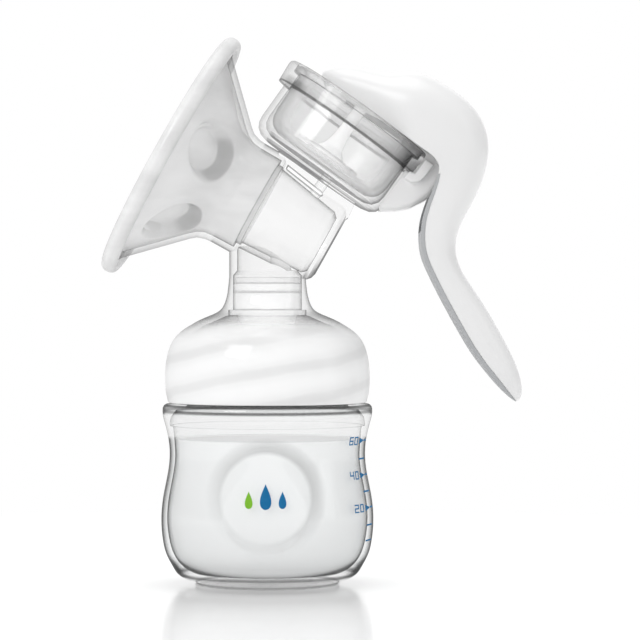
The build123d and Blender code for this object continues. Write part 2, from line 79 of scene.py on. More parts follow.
# ------------------------------------------------------------------ curves and meshes
def catmull(points, steps):
    """Smooth curve through the points (centripetal Catmull-Rom), with steps per span."""

    def between(a, b, start, end, t):
        return (end - t) / (end - start) * a + (t - start) / (end - start) * b

    points = np.array(points, float)
    first = 2 * points[0] - points[1]
    last = 2 * points[-1] - points[-2]
    extended = np.vstack([first, points, last])
    curve = []
    for i in range(len(points) - 1):
        p0, p1, p2, p3 = extended[i : i + 4]
        t0 = 0.0
        t1 = t0 + max(np.linalg.norm(p1 - p0), 1e-9) ** 0.5
        t2 = t1 + max(np.linalg.norm(p2 - p1), 1e-9) ** 0.5
        t3 = t2 + max(np.linalg.norm(p3 - p2), 1e-9) ** 0.5
        for k in range(steps):
            t = t1 + (t2 - t1) * k / steps
            a1 = between(p0, p1, t0, t1, t)
            a2 = between(p1, p2, t1, t2, t)
            a3 = between(p2, p3, t2, t3, t)
            b1 = between(a1, a2, t0, t2, t)
            b2 = between(a2, a3, t1, t3, t)
            curve.append(tuple(between(b1, b2, t1, t2, t)))
    curve.append(tuple(points[-1]))
    return curve


def rounded(points, radius, steps=3):
    """Open polyline with its inner corners rounded."""
    points = [np.array(p, float) for p in points]
    path = [tuple(points[0])]
    for before, corner, after in zip(points, points[1:], points[2:]):
        back, ahead = before - corner, after - corner
        back_length, ahead_length = np.linalg.norm(back), np.linalg.norm(ahead)
        back, ahead = back / back_length, ahead / ahead_length
        angle = math.acos(float(back @ ahead))
        cut = min(radius / math.tan(angle / 2), back_length * 0.48, ahead_length * 0.48)
        for k in range(steps + 1):
            t = k / steps
            start, end = corner + back * cut, corner + ahead * cut
            path.append(tuple((1 - t) ** 2 * start + 2 * t * (1 - t) * corner + t**2 * end))
    path.append(tuple(points[-1]))
    return path


def link_object(name, mesh):
    ob = bpy.data.objects.new(name, mesh)
    bpy.context.scene.collection.objects.link(ob)
    return ob


def turned(name, profile, origin, axis, segments, sharp, closed=False, shape=None, track=None):
    """Turns a profile of (along, radius) in millimetres round an axis; angle 0 is at the front.

    shape(along, radius, angle) moves points; track collects (vertex, along, radius, angle).
    sharp is the angle in degrees above which an edge stays sharp.
    """
    origin, axis, front = Vector(origin) * MM, Vector(axis).normalized(), Vector((0, -1, 0))
    front = (front - axis * front.dot(axis)).normalized()
    side = axis.cross(front)
    verts, rows = [], []
    for along, radius in profile:
        if radius < 1e-6:
            rows.append([len(verts)])
            verts.append(origin + axis * along * MM)
            continue
        row = []
        for k in range(segments):
            angle = 2 * math.pi * k / segments
            s, r = shape(along, radius, angle) if shape else (along, radius)
            row.append(len(verts))
            outward = front * math.cos(angle) + side * math.sin(angle)
            verts.append(origin + (axis * s + outward * r) * MM)
            if track is not None:
                track.append((verts[-1].copy(), along, radius, angle))
        rows.append(row)

    faces = []
    pairs = list(zip(rows, rows[1:]))
    if closed:
        pairs.append((rows[-1], rows[0]))
    for row, following in pairs:
        for k in range(segments):
            k2 = (k + 1) % segments
            if len(row) == 1:
                faces.append((row[0], following[k2], following[k]))
            elif len(following) == 1:
                faces.append((row[k], row[k2], following[0]))
            else:
                faces.append((row[k], row[k2], following[k2], following[k]))

    mesh = bpy.data.meshes.new(name)
    mesh.from_pydata([tuple(v) for v in verts], [], faces)
    mesh.validate()
    bm = bmesh.new()
    bm.from_mesh(mesh)
    bmesh.ops.remove_doubles(bm, verts=bm.verts, dist=1e-7)
    bmesh.ops.recalc_face_normals(bm, faces=bm.faces)
    bm.to_mesh(mesh)
    bm.free()
    ob = link_object(name, mesh)
    mesh.shade_smooth()
    mesh.set_sharp_from_angle(angle=math.radians(sharp))
    return ob


# ------------------------------------------------------------------ shader graph helpers
def grey(value):
    return (value, value, value, 1)


class Graph:
    """Node tree of a material or world. A value, a socket or a node may feed any input."""

    def __init__(self, owner, output="ShaderNodeOutputMaterial"):
        owner.use_nodes = True
        self.owner = owner
        self.tree = owner.node_tree
        self.tree.nodes.clear()
        self.output = self.add(output)

    def add(self, kind, props=None, **inputs):
        node = self.tree.nodes.new(kind)
        for key, value in (props or {}).items():
            setattr(node, key, value)
        for key, value in inputs.items():
            self.put(node, key, value)
        return node

    def put(self, node, key, value):
        socket = node.inputs[key]
        if isinstance(value, bpy.types.NodeSocket):
            self.tree.links.new(value, socket)
        elif isinstance(value, bpy.types.Node):
            self.tree.links.new(value.outputs[0], socket)
        else:
            socket.default_value = value

    def math(self, operation, a, b=0.0, c=0.0, clamp=False):
        node = self.add("ShaderNodeMath", {"operation": operation, "use_clamp": clamp})
        for i, value in enumerate((a, b, c)):
            self.put(node, i, value)
        return node.outputs[0]

    def plus(self, a, b):
        return self.math("ADD", a, b)

    def minus(self, a, b):
        return self.math("SUBTRACT", a, b)

    def times(self, a, b):
        return self.math("MULTIPLY", a, b)

    def over(self, a, b):
        return self.math("DIVIDE", a, b)

    def less(self, a, b):
        return self.math("LESS_THAN", a, b)

    def more(self, a, b):
        return self.math("GREATER_THAN", a, b)

    def span(self, value, start, length):
        """0 at start, 1 a length further on."""
        return self.over(self.minus(value, start), length)

    def squares(self, a, b):
        return self.plus(self.times(a, a), self.times(b, b))

    def ramp(self, factor, stops, smooth=False):
        """Stops are (position, grey or colour)."""
        node = self.add("ShaderNodeValToRGB")
        node.color_ramp.interpolation = "EASE" if smooth else "LINEAR"
        elements = node.color_ramp.elements
        while len(elements) < len(stops):
            elements.new(0.5)
        for element, (position, tone) in zip(elements, stops):
            element.position = position
            element.color = grey(tone) if isinstance(tone, (int, float)) else (*tone, 1)
        self.put(node, "Fac", factor)
        return node.outputs["Color"]

    def mix(self, factor, a, b):
        """Mix of two shaders."""
        node = self.add("ShaderNodeMixShader")
        for i, value in enumerate((factor, a, b)):
            self.put(node, i, value)
        return node.outputs[0]

    def mix_color(self, factor, a, b, mode="MIX"):
        node = self.add("ShaderNodeMix", {"data_type": "RGBA", "blend_type": mode})
        self.put(node, 0, factor)
        self.put(node, 6, a)
        self.put(node, 7, b)
        return node.outputs[2]

    def multiply(self, a, b):
        """Product of two colours."""
        return self.mix_color(1.0, a, b, "MULTIPLY")

    def coords(self):
        return self.add("ShaderNodeTexCoord").outputs["Object"]

    def xyz(self, vector):
        return list(self.add("ShaderNodeSeparateXYZ", Vector=vector).outputs)

    def noise(self, vector, scale, detail, roughness=0.5):
        return self.add("ShaderNodeTexNoise", Vector=vector, Scale=scale, Detail=detail,
                        Roughness=roughness)

    def bump(self, height, strength, distance):
        return self.add("ShaderNodeBump", Strength=strength, Distance=distance, Height=height)

    def facing(self):
        """0 where the surface looks at the eye, 1 where it is seen edge on."""
        return self.add("ShaderNodeLayerWeight", Blend=0.5).outputs["Facing"]

    def add_glow(self, shader, tone, strength):
        """A little light of its own, for light scattered inside a milky wall."""
        glow = self.add("ShaderNodeEmission", Color=tone, Strength=strength)
        both = self.add("ShaderNodeAddShader")
        self.put(both, 0, shader)
        self.put(both, 1, glow)
        return both

    def finish(self, shader):
        self.put(self.output, "Surface", shader)
        return self.owner

    def finish_clear(self, body, gloss, mirror_face, mirror_edge, shadow_pass):
        """Mirrors by angle, and lets a share of the shadow rays through to light the inside."""
        angle = self.math("POWER", self.facing(), 5.0)
        mirror = self.math("MULTIPLY_ADD", angle, mirror_edge - mirror_face, mirror_face)
        shader = self.mix(mirror, body, gloss)
        shadow_ray = self.add("ShaderNodeLightPath").outputs["Is Shadow Ray"]
        clear = self.add("ShaderNodeBsdfTransparent", Color=grey(0.98))
        return self.finish(self.mix(self.times(shadow_ray, shadow_pass), shader, clear))


def new_material(name):
    return Graph(bpy.data.materials.new(name))


# ------------------------------------------------------------------ clear plastics
def edge_film(mat):
    """Colour of a thin clear wall: bright face on, dark where it is seen edge on."""
    return mat.ramp(mat.facing(), [(0.0, 0.992), (0.42, 0.97), (0.60, 0.91), (0.73, 0.77),
                                   (0.85, 0.50), (0.94, 0.27), (1.0, 0.16)])


def crisp_film(mat, coords):
    """Like edge_film, but the dark line hugs the outline, and is heavier round the foot."""
    z = mat.xyz(coords)[2]
    foot = mat.ramp(mat.over(z, 0.010), [(0.0, 1.17), (0.55, 1.17), (0.85, 1.0), (1.0, 1.0)])
    return mat.ramp(mat.times(mat.facing(), foot), [
        (0.0, 0.995), (0.56, 0.965), (0.69, 0.90), (0.78, 0.66), (0.85, 0.29), (0.92, 0.10),
        (1.0, 0.10)])


# painted shade on the bottle wall by height, dark lines where foot and shoulder are seen edge on:
# (z in millimetres, grey)
BOTTLE_EDGE_SHADE = [
    (0.0, 0.42), (0.35, 0.48), (1.2, 0.90), (2.6, 0.92), (3.0, 0.38), (3.5, 0.40), (4.2, 1.0),
    (54.3, 1.0), (54.7, 0.42), (55.2, 0.42), (55.7, 0.90), (56.2, 0.85), (56.6, 0.24),
    (57.5, 0.24), (58.2, 0.92), (66.0, 0.97),
]
BANDS_TOP = 66.0


def bottle_material():
    """Polished clear wall with faint flow marks, a trace of haze and painted dark lines where its
    walls are seen edge on.
    """
    mat = new_material("bottle_clear")
    coords = mat.coords()
    flow = mat.bump(mat.noise(coords, scale=70.0, detail=2.0), strength=0.10, distance=0.0012)
    see = mat.multiply(crisp_film(mat, coords), (0.985, 0.99, 0.99, 1))
    x, y, z = mat.xyz(coords)

    # the foot and the empty height under the neck stay bright, whatever way their walls lean
    calm = mat.ramp(mat.over(z, 0.060), [
        (0.0, 0.85), (0.045, 0.85), (0.060, 0.0), (0.765, 0.0), (0.780, 0.8), (0.895, 0.8),
        (0.905, 0.0), (1.0, 0.0)])
    see = mat.mix_color(mat.times(calm, mat.less(mat.facing(), 0.93)), see, grey(0.975))
    # painted shade: dark lines by height round the foot and the shoulder
    bands = [(height / BANDS_TOP, tone) for height, tone in BOTTLE_EDGE_SHADE]
    see = mat.multiply(see, mat.ramp(mat.span(z, 0.0, BANDS_TOP * MM), bands))

    # the bent wall round the panel turns light aside: darker above and to +X, lighter below
    up = mat.minus(z, PANEL_Z * MM)
    distance = mat.math("SQRT", mat.squares(x, up))
    ring = mat.ramp(mat.over(distance, 0.022), [
        (0.0, 0.0), (0.60, 0.0), (0.66, 1.0), (0.74, 0.65), (0.82, 0.25), (0.86, 0.0), (1.0, 0.0)])
    lean = mat.over(mat.plus(up, mat.times(x, 0.5)), 0.016)
    depth = mat.math("MULTIPLY_ADD", lean, 0.06, 0.085)
    front = mat.less(y, -0.020)
    shade = mat.times(mat.math("MULTIPLY", ring, depth, clamp=True), front)
    light = mat.minus(1.0, shade)
    see = mat.multiply(see, mat.add("ShaderNodeCombineColor", Red=light, Green=light, Blue=light))

    # level faces (underside, floor, top of the shoulder) stay clear however low the eye is
    normal = mat.add("ShaderNodeNewGeometry").outputs["True Normal"]
    level = mat.math("ABSOLUTE", mat.xyz(normal)[2])
    see = mat.mix_color(mat.more(level, 0.93), see, grey(0.93))
    middle = mat.less(mat.squares(x, y), 0.0200**2)
    see = mat.mix_color(mat.times(middle, mat.less(z, 0.0015)), see, grey(0.96))

    film = mat.add("ShaderNodeBsdfTransparent", Color=see)
    gloss = mat.add("ShaderNodeBsdfGlossy", Color=grey(0.95), Roughness=0.07, Normal=flow)
    milky = mat.add("ShaderNodeBsdfDiffuse", Color=grey(0.95))
    translucent = mat.add("ShaderNodeBsdfTranslucent", Color=grey(0.95))
    haze = 0.02
    body = mat.mix(haze, film, mat.mix(0.5, milky, translucent))
    return mat.finish_clear(body, gloss, mirror_face=0.035, mirror_edge=0.16, shadow_pass=0.95)


def body_material():
    """Clear body: skirt frosted with soft diagonal bands, clear above the shoulder."""
    mat = new_material("clear_body")
    coords = mat.coords()
    x, y, z = mat.xyz(coords)

    # frosted skirt: bands climb as a three-start helix, made uneven by noise
    turn = mat.over(mat.math("ARCTAN2", y, x), 2 * math.pi)
    soft = mat.noise(coords, scale=28.0, detail=3.0, roughness=0.6)
    wobble = mat.math("MULTIPLY_ADD", soft, 0.44, -0.22)
    climb = mat.span(z, 0.0045, 0.0105)
    phase = mat.plus(mat.minus(climb, mat.times(turn, 3.0)), wobble)
    wave = mat.math("SINE", mat.times(phase, 2 * math.pi))
    bands = mat.ramp(mat.math("MULTIPLY_ADD", wave, 0.5, 0.5),
                     [(0.0, 0.82), (0.35, 0.90), (1.0, 0.935)], smooth=True)
    frost = mat.ramp(mat.span(z, 0.060, 0.030),
                     [(0.0, 0.88), (0.60, 0.84), (0.70, 0.50), (0.80, 0.0), (1.0, 0.0)])
    flow = mat.bump(mat.noise(coords, scale=70.0, detail=2.0), strength=0.08, distance=0.001)

    # painted shade: dark lines under the cup's band and rim, where those faces are seen edge on,
    # by height along the cup's axis
    cup_x, cup_z = CUP_AT[0] * MM, CUP_AT[2] * MM
    cup_sin, cup_cos = round(math.sin(CUP_LEAN), 4), round(math.cos(CUP_LEAN), 4)
    height = mat.plus(mat.times(mat.minus(x, cup_x), cup_sin),
                      mat.times(mat.minus(z, cup_z), cup_cos))
    slant = mat.minus(mat.times(mat.minus(z, cup_z), 1.0), mat.times(x, -0.4))
    on_cup_side = mat.more(slant, -0.012)
    painted_shade = mat.ramp(mat.over(mat.plus(height, 0.004), 0.014), [
        (0.0, 1.0), (0.290, 1.0), (0.306, 0.34), (0.330, 0.34), (0.348, 0.88), (0.50, 0.97),
        (0.84, 0.94), (0.88, 0.72), (0.92, 0.95)])

    # painted shade: both ends of the cup as seen from the front darken; across runs towards +X and
    # down
    across = mat.minus(mat.times(mat.minus(x, cup_x), cup_cos),
                       mat.times(mat.minus(z, cup_z), cup_sin))
    cup_end_shade = [  # (darkness across the cup, how far up it reaches)
        ([(0.0, 1.0), (0.5, 1.0), (0.80, 0.92), (0.90, 0.52), (1.0, 0.35)],
         [(0.0, 0.0), (0.03, 1.0), (0.55, 0.8), (0.8, 0.1)]),
        ([(0.0, 1.0), (0.055, 0.95), (0.075, 0.66), (0.15, 0.74), (0.21, 1.0)],
         [(0.0, 0.0), (0.03, 1.0), (0.28, 0.9), (0.42, 0.0)]),
    ]
    for darkness, extent in cup_end_shade:
        tone = mat.ramp(mat.over(mat.plus(across, 0.028), 0.056), darkness)
        reach = mat.ramp(mat.over(height, 0.008), extent)
        painted_shade = mat.multiply(painted_shade, mat.mix_color(reach, grey(1.0), tone))
    painted_shade = mat.mix_color(on_cup_side, grey(1.0), painted_shade)

    # the tube's rounded end wall bends the light away: two soft dark lines
    dip_sin, dip_cos = round(math.sin(CUSHION_DIP), 4), round(math.cos(CUSHION_DIP), 4)
    from_x = mat.plus(x, -CUSHION_AT[0] * MM)
    from_z = mat.minus(z, CUSHION_AT[2] * MM)
    along = mat.minus(mat.times(from_x, dip_cos), mat.times(from_z, dip_sin))
    above = mat.plus(mat.times(from_x, dip_sin), mat.times(from_z, dip_cos))
    fade = mat.ramp(mat.over(mat.plus(above, 0.016), 0.032),
                    [(0.0, 1.0), (0.64, 1.0), (0.78, 0.0), (1.0, 0.0)])
    glance = mat.ramp(mat.facing(), [(0.0, 0.0), (0.35, 0.0), (0.60, 1.0), (1.0, 1.0)])
    tube = mat.times(mat.times(fade, glance), mat.more(z, 0.0968))
    tube_end = mat.ramp(mat.span(along, 0.050, 0.008), [
        (0.0, 1.0), (0.50, 1.0), (0.60, 0.70), (0.72, 0.93), (0.84, 0.60), (0.96, 0.52)])
    painted_shade = mat.multiply(painted_shade, mat.mix_color(tube, grey(1.0), tube_end))

    # the funnel round the cushion is brighter than the rest
    funnel = mat.times(mat.less(along, 0.0235), 0.55)
    see = mat.multiply(mat.mix_color(funnel, edge_film(mat), grey(0.97)), painted_shade)
    film = mat.add("ShaderNodeBsdfTransparent", Color=see)
    tone = mat.multiply(bands, mat.ramp(mat.facing(),
                                        [(0.0, 1.0), (0.7, 0.99), (0.93, 0.90), (1.0, 0.8)]))
    diffuse = mat.add("ShaderNodeBsdfDiffuse", Color=tone)
    translucent = mat.add("ShaderNodeBsdfTranslucent", Color=tone)
    milky = mat.add("ShaderNodeBsdfDiffuse", Color=grey(0.95))
    haze = 0.025
    clear = mat.mix(haze, film, milky)
    frosted = mat.add_glow(mat.mix(0.40, diffuse, translucent), tone, strength=0.06)
    body = mat.mix(frost, clear, frosted)
    gloss = mat.add("ShaderNodeBsdfGlossy", Color=grey(0.95), Roughness=0.08, Normal=flow)
    return mat.finish_clear(body, gloss, mirror_face=0.035, mirror_edge=0.16, shadow_pass=0.93)


# ------------------------------------------------------------------ silicone and opaque plastics
def fold_shading(mat, coords, tone):
    """Shades the petals' walls by the vertex value 'fold', with faint slanting streaks."""
    fold = mat.add("ShaderNodeAttribute", {"attribute_name": "fold"}).outputs["Fac"]
    walls = mat.ramp(mat.math("MULTIPLY_ADD", fold, 0.5, 0.5), [
        (0.05, 0.80), (0.35, 0.97), (0.5, 1.0), (0.62, 0.93), (0.95, 0.62)], smooth=True)
    tone = mat.multiply(tone, walls)
    slanted = mat.add("ShaderNodeMapping", Vector=coords, Scale=(60.0, 60.0, 190.0),
                      Rotation=(0.0, -0.5, 0.0))
    streak = mat.noise(slanted, scale=1.0, detail=3.0)
    return mat.multiply(tone, mat.ramp(streak, [(0.30, 0.90), (0.62, 1.0)]))


def silicone(name, clearness, brightness, edge=0.75, roughness=0.28, shadow_pass=0.6,
             through=0.45, nook=0.0, glow=0.0, folds=False, lines=None):
    """Cloudy translucent body with a soft sheen and very fine grain.

    clearness: see-through share face on; edge: brightness kept edge on; through: share of
    light passed on; nook: painted shade in hollows, from ambient occlusion; glow: own light;
    folds: use fold_shading; lines: (start z, height, grey stops) of dark lines.
    """
    mat = new_material(name)
    coords = mat.coords()
    cloud = mat.noise(coords, scale=45.0, detail=3.0, roughness=0.55)
    grain = mat.bump(mat.noise(coords, scale=900.0, detail=2.0, roughness=0.6),
                     strength=0.05, distance=0.0004)
    facing = mat.facing()
    tone = mat.ramp(facing, [(0.0, brightness), (0.6, brightness * 0.97),
                             (0.9, brightness * edge), (1.0, brightness * edge * 0.8)])
    cloudy = mat.ramp(cloud, [(0.3, brightness * 0.85), (0.7, brightness)])
    tone = mat.mix_color(0.10, tone, cloudy)
    # painted shade in hollows: the ambient occlusion node darkens the colour
    if nook:
        hollow = mat.add("ShaderNodeAmbientOcclusion", {"samples": 6, "only_local": True},
                         Distance=0.010).outputs["AO"]
        tone = mat.multiply(tone, mat.ramp(hollow, [(0.25, 1.0 - nook), (0.9, 1.0)]))
    if folds:
        tone = fold_shading(mat, coords, tone)
    if lines:
        start, height, stops = lines
        z = mat.xyz(coords)[2]
        tone = mat.multiply(tone, mat.ramp(mat.span(z, start, height), stops))
    diffuse = mat.add("ShaderNodeBsdfDiffuse", Color=tone, Normal=grain)
    translucent = mat.add("ShaderNodeBsdfTranslucent", Color=tone, Normal=grain)
    film = mat.add("ShaderNodeBsdfTransparent", Color=mat.mix_color(0.5, grey(1.0), tone))
    gloss = mat.add("ShaderNodeBsdfGlossy", Color=grey(0.9), Roughness=roughness, Normal=grain)
    body = mat.mix(through, diffuse, translucent)
    if glow:
        body = mat.add_glow(body, tone, glow)
    face_on = mat.minus(1.0, mat.math("POWER", facing, 2.0))
    body = mat.mix(mat.times(face_on, clearness), body, film)
    return mat.finish_clear(body, gloss, mirror_face=0.04, mirror_edge=0.30,
                            shadow_pass=shadow_pass)


def white_material():
    """Moulded opaque plastic: faint orange-peel skin and slightly uneven gloss."""
    mat = new_material("white_plastic")
    coords = mat.coords()
    brightness = 0.84
    peel = mat.noise(coords, scale=350.0, detail=2.0)
    patches = mat.noise(coords, scale=30.0, detail=2.0)
    skin = mat.bump(peel, strength=0.03, distance=0.0005)
    return mat.finish(mat.add("ShaderNodeBsdfPrincipled", **{
        "Base Color": mat.ramp(patches, [(0.3, brightness * 0.985), (0.7, brightness)]),
        "Roughness": mat.math("MULTIPLY_ADD", patches, 0.08, 0.30),
        "Normal": skin,
        "Subsurface Weight": 0.08,
        "Subsurface Radius": (0.004, 0.004, 0.004),
        "Subsurface Scale": 1.0,
        "Coat Weight": 0.06,
        "Coat Roughness": 0.12,
    }))


def grey_material():
    """Matt soft-touch strip with a fine moulded grain."""
    mat = new_material("grey_elastomer")
    coords = mat.coords()
    color = (0.45, 0.46, 0.47)
    cells = mat.add("ShaderNodeTexVoronoi", Vector=coords, Scale=1400.0)
    patches = mat.noise(coords, scale=60.0, detail=3.0)
    grain = mat.bump(cells, strength=0.25, distance=0.0003)
    base = mat.mix_color(patches, (*[c * 0.92 for c in color], 1), (*color, 1))
    return mat.finish(mat.add("ShaderNodeBsdfPrincipled", **{
        "Base Color": base, "Roughness": 0.55, "Normal": grain}))


# three narrow dark lines on the valve: (share of the height, grey)
VALVE_LINES = [
    (0.0, 1.0), (0.13, 1.0), (0.15, 0.6), (0.17, 1.0), (0.40, 1.0), (0.43, 0.62), (0.46, 1.0),
    (0.55, 1.0), (0.57, 0.6), (0.59, 0.95), (0.65, 0.95), (0.665, 0.6), (0.69, 1.0), (1.0, 1.0),
]

CLEAR_BODY = body_material()
CLEAR_BOTTLE = bottle_material()
CUSHION_SILICONE = silicone(
    "cushion_silicone", clearness=0.14, brightness=0.96, edge=0.80, roughness=0.22,
    through=0.34, nook=0.40, glow=0.15, folds=True)
DIAPHRAGM_SILICONE = silicone(
    "diaphragm_silicone", clearness=0.94, brightness=0.95, edge=0.38, roughness=0.4,
    shadow_pass=0.9)
VALVE_SILICONE = silicone(
    "valve_silicone", clearness=0.62, brightness=0.97, roughness=0.35, shadow_pass=0.85,
    glow=0.18, lines=(0.084, 0.020, VALVE_LINES))
SEAL_SILICONE = silicone("seal_silicone", clearness=0.2, brightness=0.88)
WHITE_PLASTIC = white_material()
STEM_PLASTIC = silicone(
    "stem_plastic", clearness=0.10, brightness=0.97, edge=0.40, roughness=0.2,
    shadow_pass=0.5, through=0.3, glow=0.25)
GREY_ELASTOMER = grey_material()

NODE_MATERIALS = {
    "pump_body": CLEAR_BODY,
    "bottle": CLEAR_BOTTLE,
    "bottle_seal": SEAL_SILICONE,
    "massage_cushion": CUSHION_SILICONE,
    "valve": VALVE_SILICONE,
    "diaphragm": DIAPHRAGM_SILICONE,
    "diaphragm_stem": STEM_PLASTIC,
    "pivot_bracket": WHITE_PLASTIC,
    "pivot_pin": WHITE_PLASTIC,
    "lever_shell": WHITE_PLASTIC,
    "stem_hook": WHITE_PLASTIC,
    "lever_liner": GREY_ELASTOMER,
}
for node_name, material in NODE_MATERIALS.items():
    slots = NODES[node_name].data.materials
    slots.clear()
    slots.append(material)

# ------------------------------------------------------------------ massage cushion
PETAL_COUNT = 5
PETAL_ALONG = 11.0  # petal centre, along the cushion's axis
PETAL_HALF_LENGTH = 8.8
PETAL_HALF_WIDTH = 8.7
PETAL_HEIGHT = 5.2
CONE_SUM = 34.8  # along + radius on the cone, near enough
CONE_EDGE = 35.3  # points with a larger along + radius are left alone


def petals(along, radius, angle):
    """Moves a point of the cone in towards the mouth and the axis inside each petal."""
    if not (-2.6 < along < 21.0) or along + radius > CONE_EDGE:
        return along, radius
    best = 0.0
    for k in range(PETAL_COUNT):
        # the first petal is at the top, a quarter turn back from angle 0
        off = angle + math.pi / 2 - 2 * math.pi * k / PETAL_COUNT
        off = (off + math.pi) % (2 * math.pi) - math.pi
        lengthwise = (along - PETAL_ALONG) * math.sqrt(2) / PETAL_HALF_LENGTH
        crosswise = off * (CONE_SUM - min(along, 19.0)) / PETAL_HALF_WIDTH
        reach = math.hypot(lengthwise, crosswise)
        weight = min(max((1.16 - reach) / 0.36, 0.0), 1.0)
        weight = weight * weight * (3 - 2 * weight)
        weight *= 1.0 - 0.10 * min(reach / 0.7, 1.0) ** 2
        best = max(best, weight)
    # fade out at the mouth and at the throat
    if along < -0.5:
        best *= max(0.0, (along + 2.6) / 2.1)
    if along > 17.0:
        best *= max(0.0, (21.0 - along) / 4.0)
    shift = PETAL_HEIGHT * best / math.sqrt(2)
    return along - shift, radius - shift


def cone_line(start, change, steps=46):
    """Evenly spaced points on a straight stretch of the cone."""
    return [tuple(a + c * k / steps for a, c in zip(start, change)) for k in range(steps + 1)]


def cushion_profile():
    """Closed section, (along, radius): outside, sleeve, inside, turned-over rim and lip."""
    outside = cone_line((-1.3, 36.0), (17.2, -17.15))
    outside += catmull([(15.9, 18.85), (17.9, 17.1), (20.1, 16.0), (23.0, 15.65)], 5)[1:]
    sleeve = [(26.0, 15.6), (30.3, 15.45), (30.4, 15.3), (30.4, 14.0), (31.9, 13.9),
              (32.0, 13.7), (32.0, 11.4), (31.8, 11.2)]
    inside = catmull([(30.0, 11.0), (26.0, 11.3), (22.0, 12.0), (17.6, 14.0), (14.4, 17.2)], 6)
    inside += cone_line((14.4, 17.2), (-16.0, 16.0))[1:]
    rim = catmull([
        (-1.6, 33.2), (-2.7, 34.4), (-3.4, 35.6), (-3.5, 37.4), (-3.5, 39.6), (-2.9, 41.2),
        (-1.7, 42.05), (-0.7, 42.1), (0.4, 41.95), (1.5, 41.2), (1.85, 40.2), (1.65, 39.2),
        (1.15, 38.4)], 6)[1:]
    lip = [(0.5, 37.7), (-1.5, 39.35), (-1.7, 39.2), (-1.7, 36.4)]
    return outside + sleeve + inside + rim + lip


def fold_value(along, radius, angle):
    """0 on the plain cone, up to 1 on a petal's throat-side wall, down to -1 on the other."""
    if along < 2.5 and radius > 37.3:
        # the turned-over lip falls into shade towards its back
        return min(max((along + 1.6) / 3.4, 0.0), 1.0) * 0.55
    if along + radius > CONE_EDGE or not (-1.0 < along < 21.0):
        return 0.0

    def shift(step=0.0, turn=0.0):
        moved = petals(along + step, radius - step, angle + turn)
        return along + step - moved[0]

    step, turn = 0.25, 0.02
    slope = (shift(step=step) - shift(step=-step)) / (2 * step)
    cross = (shift(turn=turn) - shift(turn=-turn)) / (2 * turn * max(radius, 8.0))
    steep = math.hypot(slope, cross)
    if steep <= 1e-4:
        return 0.0
    towards_throat = -slope / steep
    value = 1.25 * math.tanh(steep / 1.1) * (0.30 + 0.70 * towards_throat)
    return max(-1.0, min(1.0, value))


def mark_folds(ob, track):
    """Writes the vertex value 'fold' from each vertex's place on the unmoved profile."""
    tree = KDTree(len(track))
    for i, (position, *_) in enumerate(track):
        tree.insert(position, i)
    tree.balance()
    fold = ob.data.attributes.new("fold", "FLOAT", "POINT")
    for i, vertex in enumerate(ob.data.vertices):
        _, along, radius, angle = track[tree.find(vertex.co)[1]]
        fold.data[i].value = fold_value(along, radius, angle)


def build_cushion():
    track = []
    cushion = turned("massage_cushion_skin", cushion_profile(), CUSHION_AT, CUSHION_AXIS,
                     segments=300, sharp=50, closed=True, shape=petals, track=track)
    mark_folds(cushion, track)
    cushion.data.materials.append(CUSHION_SILICONE)
    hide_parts("massage_cushion")
    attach(cushion, "cushion")


build_cushion()


# ------------------------------------------------------------------ pivot bracket
def build_bracket():
    """The CAD bracket with its moulded edges softened."""
    source = NODES["pivot_bracket"]
    name = "pivot_bracket_skin"
    rough = link_object(name, source.data.copy())
    rough.matrix_world = source.matrix_world.copy()
    remesh = rough.modifiers.new("skin", "REMESH")
    remesh.mode = "VOXEL"
    remesh.voxel_size = 0.00033
    remesh.use_smooth_shade = True
    soften = rough.modifiers.new("soft", "SMOOTH")
    soften.factor = 0.5
    soften.iterations = 10
    depsgraph = bpy.context.evaluated_depsgraph_get()
    mesh = bpy.data.meshes.new_from_object(rough.evaluated_get(depsgraph))
    mesh.transform(rough.matrix_world)
    bpy.data.objects.remove(rough)
    bracket = link_object(name, mesh)
    mesh.materials.clear()
    mesh.materials.append(WHITE_PLASTIC)
    mesh.shade_smooth()
    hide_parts("pivot_bracket")
    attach(bracket, "pump_head")


build_bracket()

# ------------------------------------------------------------------ diaphragm
RIPPLE_START, RIPPLE_END = 9.9, 17.1
RIPPLE_PITCH = 2.4
RIPPLE_HALF_HEIGHT = 0.85


def rippled(base, radii):
    """Stretch of the membrane's floor, with three rings pressed up into it."""
    stretch = []
    for radius in radii:
        rise = 0.0
        if RIPPLE_START < radius < RIPPLE_END:
            phase = (radius - RIPPLE_START) / RIPPLE_PITCH * 2 * math.pi
            rise = RIPPLE_HALF_HEIGHT * (1.0 - math.cos(phase))
        stretch.append((base + rise, float(radius)))
    return stretch


def diaphragm_profile():
    """Section, (along, radius): underside, outer wall, rim, inner wall, floor, centre collar."""
    profile = [(-13.8, 0.0), (-13.8, 8.0)]
    profile += rippled(-13.8, np.arange(9.9, 17.2, 0.2))
    profile += catmull([(-13.7, 17.4), (-13.0, 19.0), (-11.5, 20.5), (-8.6, 21.4),
                        (-4.0, 21.65), (0.5, 21.75), (5.0, 21.85)], 6)
    profile += rounded([(5.1, 21.9), (5.3, 23.9), (7.1, 24.0), (7.6, 23.5), (7.55, 22.3),
                        (7.2, 21.2), (6.1, 20.65)], radius=0.25)
    profile += catmull([(5.4, 20.55), (0.5, 20.45), (-4.0, 20.3), (-8.2, 20.0),
                        (-10.6, 19.0), (-11.9, 17.8)], 6)
    profile += rippled(-12.7, np.arange(17.0, 11.4, -0.2))
    profile += rounded([(-12.0, 11.3), (-9.7, 11.2), (-9.6, 8.7), (-10.55, 8.7),
                        (-10.6, 9.8), (-12.38, 9.85)], radius=0.2)
    return profile + [(-12.4, 6.0), (-12.4, 0.0)]


